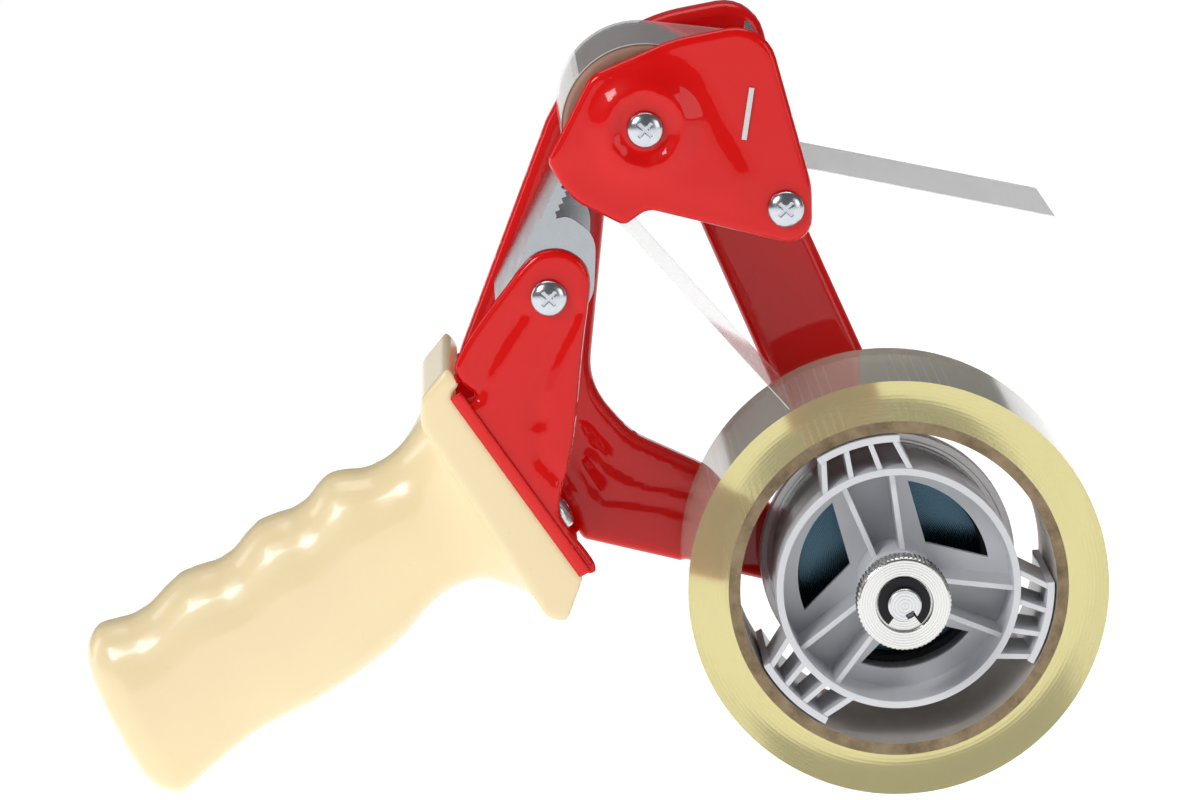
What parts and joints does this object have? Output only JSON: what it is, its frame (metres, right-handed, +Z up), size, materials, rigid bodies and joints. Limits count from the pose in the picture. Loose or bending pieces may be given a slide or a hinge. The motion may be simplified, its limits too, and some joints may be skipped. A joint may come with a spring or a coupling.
{
  "type": "packing tape dispenser",
  "caption": "Hand-held packing-tape dispenser: pistol grip, pressed-steel frame, braked roll hub, rubber roller, sprung tape flap and toothed cutter, with a loaded roll.",
  "frame": {"origin": "on the surface it stands on, below the middle of the whole object", "axes": "+X from the handle's butt towards the free tail, +Y from the open loading side to the far plate, +Z up; the hub's axis lies along Y"},
  "size_m": [0.247, 0.0764, 0.1872],
  "materials": {
    "red_enamel": "glossy baked enamel on pressed steel",
    "cream_plastic": "smooth moulded plastic with a soft sheen",
    "zinc_steel": "bright zinc plate",
    "roller_rubber": "brown rubber, ground face",
    "roller_bush": "dark moulded plastic",
    "blade_steel": "bare hardened steel strip",
    "flap_zinc": "bright zinc plate, polished",
    "spring_wire": "drawn spring wire",
    "dark_disc": "dark blued steel, turned",
    "black_friction": "matt black friction material",
    "hub_plastic": "pale grey moulded plastic",
    "milky_plastic": "milky translucent plastic",
    "nut_zinc": "turned and knurled, zinc plated",
    "black_oxide": "black oxide spring steel",
    "cardboard": "spiral-wound board",
    "tape_wound": "clear film wound in many layers, honey tint",
    "tape_film": "clear film, smooth"
  },
  "bodies": {
    "frame": {"frame": "red_enamel", "head_plate": "red_enamel", "handle": "cream_plastic", "handle_screws": "zinc_steel", "roller_axle": "zinc_steel", "roller_bolt": "zinc_steel", "roller_nut": "zinc_steel", "cutter_blade": "blade_steel", "head_spacer": "zinc_steel", "head_screws": "zinc_steel", "flap_pivot": "zinc_steel", "flap_spring": "spring_wire", "flap_bolt": "zinc_steel", "flap_nut": "zinc_steel", "spindle": "zinc_steel", "disc_spacer": "zinc_steel", "brake_disc": "dark_disc", "e_clip": "black_oxide", "brake_spring": "spring_wire", "tape_strip": "tape_film"},
    "roller": {"roller_core": "roller_bush", "roller_sleeve": "roller_rubber"},
    "flap": {"tape_flap": "flap_zinc"},
    "hub": {"hub": "hub_plastic", "hub_back_plate": "milky_plastic", "friction_ring": "black_friction"},
    "roll": {"tape_core": "cardboard", "tape_roll": "tape_wound"},
    "washer": {"thrust_washer": "zinc_steel"},
    "nut": {"tension_nut": "nut_zinc"}
  },
  "joints": [
    {"name": "hub_spin", "type": "hinge", "parent": "frame", "child": "hub", "pos_m": [0.07294, 0.0056, 0.0506], "axis": [0, 1, 0], "continuous": true},
    {"name": "roll_slide", "type": "slide", "parent": "hub", "child": "roll", "axis": [0, -1, 0], "range_m": [0, 0.06]},
    {"name": "roller_spin", "type": "hinge", "parent": "frame", "child": "roller", "pos_m": [0.01397, 0.0056, 0.16387], "axis": [0, 1, 0], "continuous": true},
    {"name": "flap_swing", "type": "hinge", "parent": "frame", "child": "flap", "pos_m": [-0.00956, 0.0056, 0.124], "axis": [0, -1, 0], "range_deg": [0, 25], "stiffness_Nm_per_rad": 0.02, "springref_deg": -34.38, "deforming": ["flap_spring"]},
    {"name": "nut_travel", "type": "slide", "parent": "frame", "child": "washer", "axis": [0, 1, 0], "range_m": [0, 0.00187], "deforming": ["brake_spring"]},
    {"name": "nut_turn", "type": "hinge", "parent": "washer", "child": "nut", "pos_m": [0.07294, -0.0324, 0.0506], "axis": [0, 1, 0], "range_deg": [0, 540]}
  ],
  "couplings": [
    {"joint": "roller_spin", "follows": "hub_spin", "ratio": -2.6218},
    {"joint": "nut_turn", "follows": "nut_travel", "rad_per_m": 5026.5}
  ]
}
